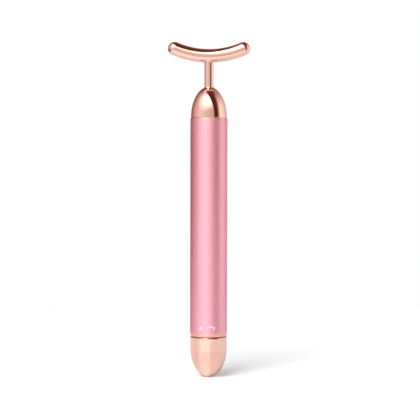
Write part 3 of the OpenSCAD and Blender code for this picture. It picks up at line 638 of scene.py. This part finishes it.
def plug_piece(material):
    """The plug in the cap's rim, with the screw thread that shows when the cap is out."""
    in_r = SCREW_ROOT - PLUG_WALL
    fit_r = CAP_BORE_R - SPIGOT_PLAY
    outline = [
        (in_r, plug_lo.z), (fit_r, plug_lo.z), (fit_r, cap_hi.z - FLANGE),
        (fit_r + FLANGE_WIDTH, cap_hi.z - FLANGE), (fit_r + FLANGE_WIDTH, cap_hi.z), (SCREW_ROOT, cap_hi.z),
    ]
    outline += edge_arc(SCREW_ROOT, plug_hi.z, CAP_EDGE, 0)
    outline += [(RIVET_HOLE, plug_hi.z), (RIVET_HOLE, plug_hi.z - PLUG_TOP), (in_r, plug_hi.z - PLUG_TOP)]
    bm = bmesh.new()
    spin(bm, outline)
    low = collar_lo.z + MOUTH_HEIGHT + RIDGE_FOOT
    thread_ridge(bm, SCREW_ROOT - RIDGE_SINK, SCREW_CREST, low, plug_hi.z - RIDGE_FOOT, tube_lo.z)
    return finish_mesh("cap_plug_threaded", bm, "cap", ["cap_plug"], material)


def seal_piece(material):
    """The rubber ring in the seam, slightly bulged by the squeeze."""
    mid = (seal_lo.z + seal_hi.z) / 2
    half = (seal_hi.z - seal_lo.z) / 2
    out_r = seal_hi.x
    outline = [(SCREW_ROOT + SPIGOT_PLAY, seal_lo.z)]
    outline += arc(out_r - half / 2, mid, half / 2, half, -90, 90, 8)
    outline.append((SCREW_ROOT + SPIGOT_PLAY, seal_hi.z))
    bm = bmesh.new()
    spin(bm, outline)
    return finish_mesh("seam_seal", bm, "cap", ["cap_seal"], material)


def wrap_round_tube(bm):
    """Cuts the flat shapes in bm into strips, makes them thin plates and bends them round the tube's front."""
    for cut in spread(-MARK_REACH, MARK_REACH, MARK_STRIPS)[1:-1]:
        parts = bm.verts[:] + bm.edges[:] + bm.faces[:]
        bmesh.ops.bisect_plane(bm, geom=parts, plane_co=(cut, 0, 0), plane_no=(1, 0, 0))
    raised = bmesh.ops.extrude_face_region(bm, geom=bm.faces[:])["geom"]
    high = {part for part in raised if isinstance(part, bmesh.types.BMVert)}
    for v in bm.verts:
        r = TUBE_R + (MARK_PROUD if v in high else -TUBE_INSET)
        a = v.co.x / TUBE_R
        v.co = (r * math.sin(a), -r * math.cos(a), v.co.z)


def mark_piece(material):
    """A dot and a curved arrow that show which way the cap turns."""
    dot = [(MARK_DOT_X + x, z) for x, z in arc(0, 0, MARK_DOT_R, MARK_DOT_R, 0, 360, 32)[:-1]]
    out_r, in_r = ARROW_R + ARROW_W / 2, ARROW_R - ARROW_W / 2
    sweep = arc(0, 0, out_r, out_r, ARROW_TAIL, ARROW_NECK, 24)
    head = [
        turned(ARROW_R + ARROW_BARB, ARROW_NECK), turned(ARROW_R, ARROW_TIP),
        turned(ARROW_R - ARROW_BARB, ARROW_NECK),
    ]
    back = arc(0, 0, in_r, in_r, ARROW_NECK, ARROW_TAIL, 24)
    arrow = [(ARROW_X + x, z - ARROW_R / 2) for x, z in sweep + head + back]
    bm = bmesh.new()
    for outline in (dot, arrow):
        bm.faces.new([bm.verts.new((x, 0, tube_lo.z + MARK_HEIGHT + z)) for x, z in outline])
    wrap_round_tube(bm)
    return finish_mesh("turn_mark", bm, "handle", [], material)


def turned(radius, degrees):
    a = math.radians(degrees)
    return (radius * math.cos(a), radius * math.sin(a))


# Stage: floor, light and camera

def floor():
    """Pale table top. It glows evenly for the camera, carries painted light that only reflections see, and
    keeps the object's shadow.
    """
    bm = bmesh.new()
    bmesh.ops.create_circle(bm, cap_ends=True, segments=96, radius=FLOOR_R)
    mesh = bpy.data.meshes.new("floor")
    bm.to_mesh(mesh)
    bm.free()
    disc = bpy.data.objects.new("floor", mesh)
    bpy.context.scene.collection.objects.link(disc)
    material = bpy.data.materials.new("pale_floor")
    material.use_nodes = True
    tree = material.node_tree
    tree.nodes.clear()
    path = tree.nodes.new("ShaderNodeLightPath")
    place = tree.nodes.new("ShaderNodeTexCoord").outputs["Object"]
    azimuth, _ = angles(tree, place)
    away = add(tree, "ShaderNodeVectorMath", {0: place}, operation="LENGTH").outputs["Value"]
    widening = ramp(tree, away, *FLOOR_WIDENING, 0.0, FLOOR_BAND_WIDER)
    turned_back = math_node(tree, "SUBTRACT", azimuth, widening)
    # painted light: a bright strip by direction and a ring by distance on the table, seen only in reflections,
    # standing for the soft box's light falling on it
    lit_band = both_of(
        tree, rises(tree, azimuth, *FLOOR_BAND_LEFT), rises(tree, turned_back, *FLOOR_BAND_RIGHT),
    )
    outwards = ramp(tree, away, *FLOOR_RING_OUT, 1.0, FLOOR_RING_END)
    ring = both_of(tree, rises(tree, away, *FLOOR_RING_IN), outwards)
    far = both_of(tree, ring, ramp(tree, lit_band, 0.0, 1.0, FLOOR_FAR_SIDES, FLOOR_FAR))
    shine = math_node(tree, "ADD", math_node(tree, "MULTIPLY", lit_band, FLOOR_BAND), far)
    seen = math_node(tree, "MULTIPLY", path.outputs["Is Camera Ray"], FLOOR_GLOW)
    mirrored = math_node(tree, "MAXIMUM", path.outputs["Is Glossy Ray"], path.outputs["Is Transmission Ray"])
    glow_level = math_node(tree, "ADD", seen, math_node(tree, "MULTIPLY", mirrored, shine))
    diffuse = add(tree, "ShaderNodeBsdfDiffuse", {"Color": rgba(FLOOR_COLOUR)})
    glow = add(tree, "ShaderNodeEmission", {"Color": (1, 1, 1, 1), "Strength": glow_level})
    both = add(tree, "ShaderNodeAddShader", {0: diffuse.outputs[0], 1: glow.outputs[0]})
    output = tree.nodes.new("ShaderNodeOutputMaterial")
    tree.links.new(both.outputs[0], output.inputs[0])
    mesh.materials.append(material)
    return disc


def direction(azimuth, elevation):
    """Unit vector: azimuth 0 is towards the viewer and 90 to the right, in degrees."""
    a, e = math.radians(azimuth), math.radians(elevation)
    return (math.sin(a) * math.cos(e), -math.cos(a) * math.cos(e), math.sin(e))


def angles(tree, way):
    """Azimuth and elevation of a vector, in degrees, as direction() has them."""
    parts = add(tree, "ShaderNodeSeparateXYZ", {0: way}).outputs
    ahead = math_node(tree, "MULTIPLY", parts[1], -1.0)
    azimuth = math_node(tree, "DEGREES", math_node(tree, "ARCTAN2", parts[0], ahead))
    elevation = math_node(tree, "DEGREES", math_node(tree, "ARCSINE", parts[2]))
    return azimuth, elevation


def rises(tree, value, start, end):
    """Mask that goes softly from 0 at start to 1 at end."""
    return ramp(tree, value, start, end, 0.0, 1.0, True)


def along(tree, way, normal):
    """The direction's share along normal."""
    return add(tree, "ShaderNodeVectorMath", {0: way, 1: normal}, operation="DOT_PRODUCT").outputs["Value"]


def both_of(tree, *masks):
    product = masks[0]
    for mask in masks[1:]:
        product = math_node(tree, "MULTIPLY", product, mask)
    return product


def lay(tree, light, level, mask):
    """Lays a panel of the given level over light where mask is 1."""
    return add(tree, "ShaderNodeMix", {0: mask, 2: light, 3: level}, data_type="FLOAT").outputs[0]


def walls(tree, way, azimuth, elevation):
    """Left wall, front, right fill and the low pale wall behind."""
    light = ramp(tree, azimuth, -138.0, -60.0, BACK, 1.0)
    light = both_of(tree, light, ramp(tree, elevation, -6.0, -1.0, 0.3, 1.0))
    front = ramp(tree, azimuth, -50.0, 30.0, 0.98, 0.58)
    light = lay(tree, light, front, rises(tree, azimuth, -72.0, -56.0))
    near = ramp(tree, azimuth, 58.0, 80.0, 0.15, 1.25)
    fill = math_node(tree, "MINIMUM", near, ramp(tree, azimuth, 92.0, 137.0, 1.25, 0.66))
    fill = both_of(tree, fill, ramp(tree, elevation, 16.0, 60.0, 1.0, 0.08))
    fill = lay(tree, fill, BACK, rises(tree, azimuth, 145.0, 175.0))
    light = lay(tree, light, fill, rises(tree, azimuth, 50.0, 60.0))
    behind = rises(tree, along(tree, way, direction(180, 0)), 0.82, 0.95)
    return lay(tree, light, 1.0, both_of(tree, behind, rises(tree, elevation, 24.0, 12.0)))


def soft_box_side(tree, way, azimuth, elevation):
    """Mask of the directions on the soft box's side of its sharp edge."""
    inside = rises(tree, along(tree, way, KEY_EDGE), -0.01, 0.01)
    high_left = both_of(
        tree, rises(tree, azimuth, -15.0, -55.0), rises(tree, azimuth, -150.0, -100.0),
        rises(tree, elevation, 86.0, 66.0),
    )
    return math_node(tree, "MAXIMUM", inside, high_left)


def soft_box(tree, way, light, azimuth, elevation, inside):
    """The soft box, arched below, and the broad lamp in it."""
    sag = math_node(tree, "ABSOLUTE", math_node(tree, "ADD", azimuth, 30.0))
    arch = math_node(tree, "SUBTRACT", elevation, math_node(tree, "MULTIPLY", sag, 0.12))
    box = both_of(
        tree, inside, ramp(tree, azimuth, -96.0, -32.0, 0.0, 1.0), rises(tree, arch, 8.0, 34.0),
        ramp(tree, elevation, 52.0, 82.0, 1.0, 0.15), rises(tree, azimuth, 60.0, 50.0),
    )
    light = lay(tree, light, KEY, box)
    towards = along(tree, way, direction(LAMP_AZIMUTH, LAMP_ELEVATION))
    return lay(tree, light, LAMP, rises(tree, towards, *map(cosine, LAMP_SPREAD)))


def dark_cards(tree, light, azimuth, elevation, inside):
    """A dark card on the right of the soft box, and dark overhead."""
    outside = math_node(tree, "SUBTRACT", 1.0, inside)
    card = both_of(
        tree, math_node(tree, "MAXIMUM", rises(tree, azimuth, 32.5, 34.5), outside),
        rises(tree, elevation, -6.0, -2.0), rises(tree, azimuth, 68.0, 56.0),
        rises(tree, azimuth, -75.0, -70.0),
    )
    light = lay(tree, light, DARK, card)
    light = lay(tree, light, DARK * 1.5, both_of(tree, rises(tree, elevation, 62.0, 70.0), outside))
    return lay(tree, light, DARK * 2, rises(tree, elevation, 68.0, 84.0))


def panels(tree, way):
    """The studio by direction: each panel is laid over those before it."""
    azimuth, elevation = angles(tree, way)
    light = walls(tree, way, azimuth, elevation)
    inside = soft_box_side(tree, way, azimuth, elevation)
    light = soft_box(tree, way, light, azimuth, elevation, inside)
    return dark_cards(tree, light, azimuth, elevation, inside)


def cosine(degrees):
    return math.cos(math.radians(degrees))


def world():
    """White to the camera, and the studio's panels to everything else, with the dark ones a little warmer."""
    made = bpy.data.worlds.new("studio")
    bpy.context.scene.world = made
    made.use_nodes = True
    tree = made.node_tree
    tree.nodes.clear()
    way = tree.nodes.new("ShaderNodeTexCoord").outputs["Generated"]
    light = panels(tree, way)
    path = tree.nodes.new("ShaderNodeLightPath")
    azimuth, _ = angles(tree, way)
    dim = both_of(tree, ramp(tree, light, 0.60, 0.85, 1.0, 0.0, True), path.outputs["Is Glossy Ray"])
    across = both_of(tree, ramp(tree, azimuth, -90.0, 30.0, 0.0, 1.0), rises(tree, azimuth, 175.0, 145.0))
    red = both_of(tree, dim, ramp(tree, across, 0.0, 1.0, *WARM_RED))
    blue = both_of(tree, dim, ramp(tree, across, 0.0, 1.0, *WARM_BLUE))
    colour = add(tree, "ShaderNodeCombineColor", {
        0: math_node(tree, "ADD", light, red), 1: light, 2: math_node(tree, "ADD", light, blue),
    }).outputs[0]
    shown = mix_colours(tree, path.outputs["Is Camera Ray"], colour, (1, 1, 1, 1))
    back = add(tree, "ShaderNodeBackground", {"Color": shown, "Strength": 1.0})
    output = tree.nodes.new("ShaderNodeOutputWorld")
    tree.links.new(back.outputs[0], output.inputs[0])


def camera():
    data = bpy.data.cameras.new("camera")
    data.lens = CAMERA_LENS
    data.sensor_width = SENSOR
    made = bpy.data.objects.new("camera", data)
    bpy.context.scene.collection.objects.link(made)
    tilt = Matrix.Rotation(math.radians(CAMERA_TILT), 4, "X")
    roll = Matrix.Rotation(math.radians(CAMERA_ROLL), 4, "Z")
    made.matrix_world = Matrix.Translation(CAMERA_PLACE) @ tilt @ roll
    bpy.context.scene.camera = made


def dress_inner_nodes(materials):
    """Gives each node that stays its slot's material."""
    slots = {row["node"]: row["material_slot"] for row in frame["record"]["subparts"]}
    for name, node in frame["nodes"].items():
        node.data.materials.clear()
        node.data.materials.append(materials[slots[name]])


camera()
floor()
world()
materials = slot_materials()
dress_inner_nodes(materials)
bar_piece(materials["rose_gold"])
stem_piece(materials["rose_gold"])
dome_piece(materials["rose_gold"])
tube_piece(materials["pink_anodised"])
collar_piece(materials["rose_gold_collar"])
cap_piece(materials["rose_gold_cap"])
plug_piece(materials["brass"])
seal_piece(materials["black_rubber"])
mark_piece(printed_mark())
bpy.context.scene.view_settings.view_transform = "Standard"

bpy.context.view_layer.update()
